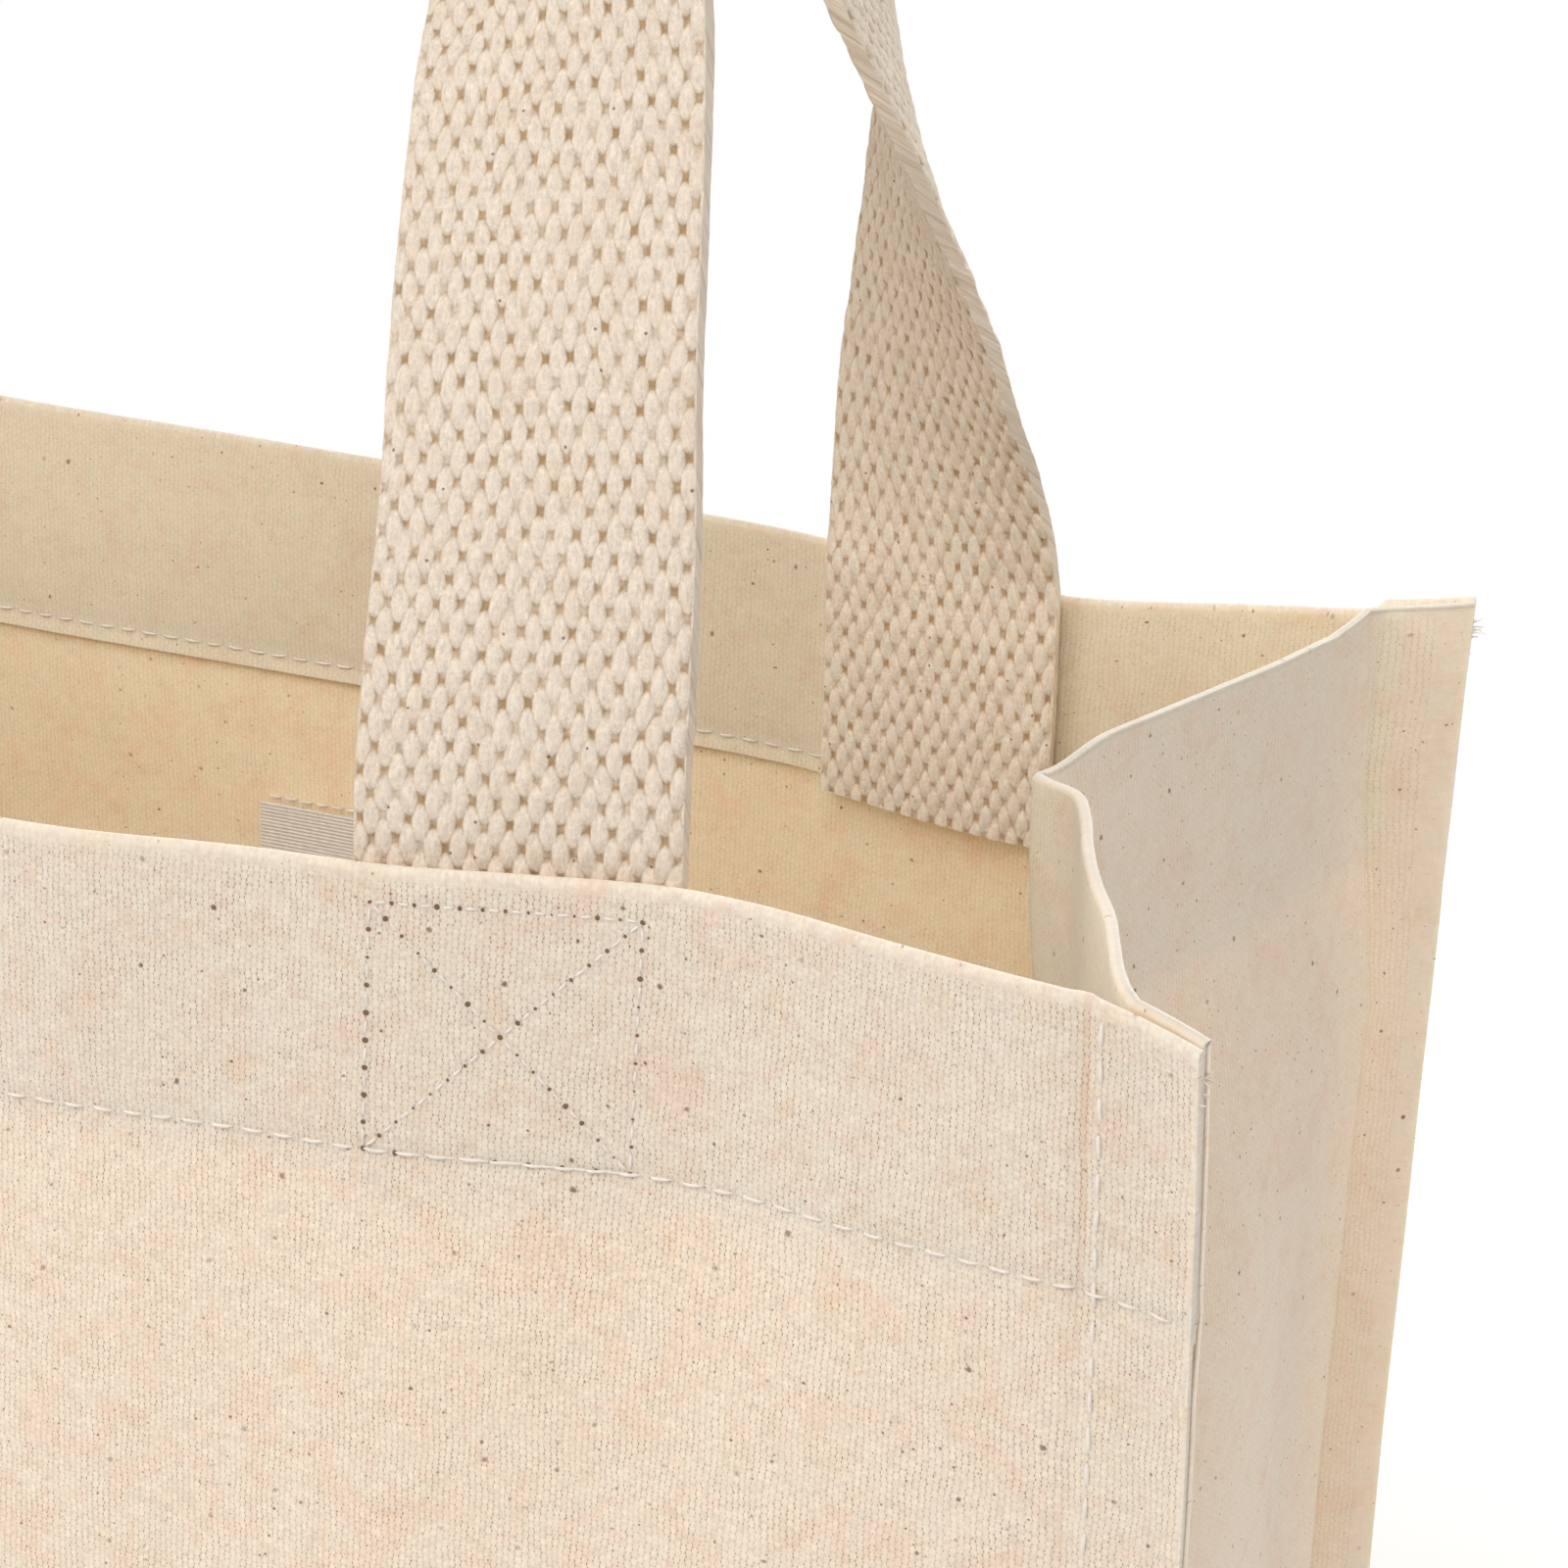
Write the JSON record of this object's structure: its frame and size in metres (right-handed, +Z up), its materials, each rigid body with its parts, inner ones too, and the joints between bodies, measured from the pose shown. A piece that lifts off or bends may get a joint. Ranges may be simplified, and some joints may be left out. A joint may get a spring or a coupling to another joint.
{
  "type": "mini tote bag",
  "caption": "Small boxy canvas tote with folded-in side gussets, a stitched hem and webbing carrying handles.",
  "frame": {"origin": "on the ground under the middle of the bag", "axes": "+Z up, +X to the right of someone facing the front, -Y towards the front"},
  "size_m": [0.2708, 0.1284, 0.3611],
  "materials": {
    "canvas": "undyed cotton canvas, plain weave",
    "webbing": "cotton webbing, ribbed weave",
    "thread": "thick cotton sewing thread",
    "label_ribbon": "thin woven ribbon, plain"
  },
  "bodies": {
    "front_wall": {"front_panel": "canvas", "bottom_panel": "canvas", "right_gusset": "canvas", "left_gusset": "canvas", "front_handle_end_right": "webbing", "front_handle_end_left": "webbing", "front_box_stitch_right": "thread", "front_box_stitch_left": "thread", "front_hem_thread": "thread", "right_gusset_hem_thread": "thread", "left_gusset_hem_thread": "thread", "front_corner_thread_right": "thread", "front_corner_thread_left": "thread", "bottom_seam_thread": "thread"},
    "back_wall": {"back_panel": "canvas", "back_handle_end_right": "webbing", "back_handle_end_left": "webbing", "back_box_stitch_right": "thread", "back_box_stitch_left": "thread", "back_hem_thread": "thread", "back_corner_thread_right": "thread", "back_corner_thread_left": "thread", "label_thread": "thread"},
    "front_arch": {"front_handle": "webbing"},
    "back_arch": {"back_handle": "webbing"},
    "label": {"care_label": "label_ribbon"}
  },
  "joints": [
    {"name": "fold_flat", "type": "slide", "parent": "front_wall", "child": "back_wall", "axis": [0, -1, 0], "range_m": [0, 0.11], "deforming": ["right_gusset", "left_gusset", "bottom_panel", "bottom_seam_thread", "right_gusset_hem_thread", "left_gusset_hem_thread", "front_handle", "back_handle", "care_label"]},
    {"name": "front_handle_swing", "type": "hinge", "parent": "front_wall", "child": "front_arch", "pos_m": [0, -0.0595, 0.22997], "axis": [1, 0, 0], "range_deg": [0, 175]},
    {"name": "back_handle_swing", "type": "hinge", "parent": "back_wall", "child": "back_arch", "pos_m": [0, 0.0595, 0.22997], "axis": [-1, 0, 0], "range_deg": [0, 165]},
    {"name": "label_lift", "type": "hinge", "parent": "back_wall", "child": "label", "pos_m": [0, 0.0595, 0.18396], "axis": [-1, 0, 0], "range_deg": [0, 90]}
  ]
}
